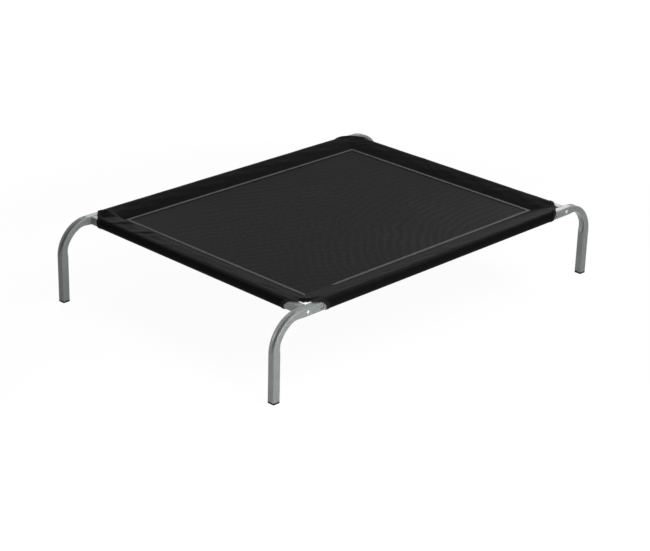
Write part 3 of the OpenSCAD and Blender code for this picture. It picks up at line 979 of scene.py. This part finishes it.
# Softboxes: place, point that they are aimed at, side, and the level to which they light a white card there
SOFTBOXES = {
    "high_softbox": ((0.4, -1.5, 2.2), (0.1, 0, 0.2), 1.6, 0.4),
    "key_softbox": ((-0.72, -1.5, 0.62), (-0.5, -0.3, 0.12), 0.4, 0.4),
    "edge_softbox": ((-1.15, -0.75, 0.45), (-0.55, -0.365, 0.12), 0.3, 0.315),
    "front_crown_softbox": ((0.79, -0.22, 1.09), (0.0, -0.365, 0.2), 0.4, 0.2),
    "left_crown_softbox": ((-0.29, 0.77, 1.09), (-0.45, 0.0, 0.2), 0.4, 0.15),
    "right_rim_softbox": ((2.8, 1.27, 1.24), (0.5, -0.36, 0.2), 0.6, 0.04),
    "left_rim_softbox": ((1.18, 2.6, 1.3), (-0.5, 0.36, 0.2), 0.6, 0.03),
}


def seen_directly(tree):
    """1 for what the camera sees, straight on or by reflection or through glass, and 0 for what lights."""
    path = node(tree, "LightPath").outputs
    mirrored = node(
        tree, "Math", {"operation": "MAXIMUM"}, {0: path["Is Glossy Ray"], 1: path["Is Transmission Ray"]}
    )
    return node(tree, "Math", {"operation": "MAXIMUM"}, {0: path["Is Camera Ray"], 1: mirrored})


def make_world():
    """A surround that shows white and lights the object only by WORLD_FILL."""
    world = bpy.data.worlds.new("white_studio")
    bpy.context.scene.world = world
    world.use_nodes = True
    tree = world.node_tree
    tree.nodes.clear()
    strength = node(
        tree, "MapRange", inputs={"Value": seen_directly(tree), "To Min": WORLD_FILL, "To Max": 1.0}
    )
    light = node(tree, "Background", inputs={"Color": (1, 1, 1, 1), "Strength": strength})
    node(tree, "OutputWorld", inputs={"Surface": light})


def make_floor():
    """A pale paper floor that takes the cot's shadow near it and otherwise shows white."""
    material, tree = new_tree("white_paper_floor")
    paper = node(
        tree, "BsdfPrincipled",
        inputs={"Base Color": srgb("#e6e6e6"), "Roughness": 0.9, "Specular IOR Level": 0.0},
    )
    white = node(tree, "Emission", inputs={"Color": (1, 1, 1, 1), "Strength": FLOOR_WHITE})
    place = node(tree, "TexCoord").outputs["Object"]
    reach = node(tree, "VectorMath", {"operation": "LENGTH"}, {0: place})
    far = node(tree, "MapRange", {"interpolation_type": "SMOOTHSTEP"}, {
        "Value": reach, "From Min": FLOOR_SHADOW_REACH, "From Max": FLOOR_WHITE_REACH, "To Min": FLOOR_LIFT,
    })
    lift = node(tree, "Math", {"operation": "MULTIPLY"}, {0: seen_directly(tree), 1: far})
    mixed = node(tree, "MixShader", inputs={0: lift, 1: paper, 2: white})
    node(tree, "OutputMaterial", inputs={"Surface": mixed})
    mesh = bpy.data.meshes.new("studio_floor")
    corners = [(x * FLOOR_HALF, y * FLOOR_HALF, 0) for x, y in ((-1, -1), (1, -1), (1, 1), (-1, 1))]
    mesh.from_pydata(corners, [], [(0, 1, 2, 3)])
    mesh.materials.append(material)
    floor = add_object("studio_floor", mesh)


def make_softbox(name, place, aim, size, level):
    """A square area lamp aimed at a point, strong enough to light a white card there to this level."""
    ray = Vector(aim) - Vector(place)
    lamp = bpy.data.lights.new(name, "AREA")
    lamp.size = size
    lamp.energy = level * (math.pi * ray.length) ** 2
    box = add_object(name, lamp)
    box.location = place
    box.rotation_euler = ray.to_track_quat("-Z", "Y").to_euler()


def make_camera():
    """The photograph's view: turned, tilted and rolled about a point of the cot, for a 650 by 551 frame."""
    yaw, pitch, roll = (math.radians(angle) for angle in (-45.85, 23.05, 1.52))
    focal_pixels, frame_pixels = 1813.9, 650
    aim = Vector((-128.0, -109.3, 100.0)) * MM
    distance = 4309.8 * MM
    back = Vector((math.sin(yaw) * math.cos(pitch), -math.cos(yaw) * math.cos(pitch), math.sin(pitch)))
    level = Vector((math.cos(yaw), math.sin(yaw), 0))
    above = back.cross(level)
    right = math.cos(roll) * level + math.sin(roll) * above
    top = math.cos(roll) * above - math.sin(roll) * level
    lens = bpy.data.cameras.new("photo_camera")
    lens.sensor_width = 36
    lens.lens = focal_pixels / frame_pixels * lens.sensor_width
    camera = add_object("photo_camera", lens)
    turned = Matrix((right, top, back)).transposed().to_4x4()
    camera.matrix_world = Matrix.Translation(aim + back * distance) @ turned
    bpy.context.scene.camera = camera


paint = powder_coat()
cloths = cloth_materials()
mesh_cloth = coated_mesh()
cap_plastic = moulded_polyethylene()
finish_nodes({
    "frame_paint": paint,
    "plain_steel": bare_metal("bare_drawn_steel", 4 * MM, 4.0, "#5f6163", "#8b8d8f", 0.45),
    "zinc_plate": bare_metal("bright_zinc_plate", 1.2 * MM, 3.0, "#a5a9aa", "#c4c7c7", 0.3),
    "rail_screws": bare_metal("dull_zinc_plate", 1.2 * MM, 3.0, "#6f7372", "#868a89", 0.6),
    "cap_plastic": cap_plastic,
    "bed_mesh": mesh_cloth,
    "sleeve_cloth": cloths["sleeve"],
    "seam_tape": cloths["tape"],
})
make_legs(paint)
make_foot_caps(cap_plastic)
make_cloth(mesh_cloth, cloths)
make_world()
make_floor()
for softbox, settings in SOFTBOXES.items():
    make_softbox(softbox, *settings)
make_camera()
bpy.context.scene.view_settings.view_transform = "Standard"
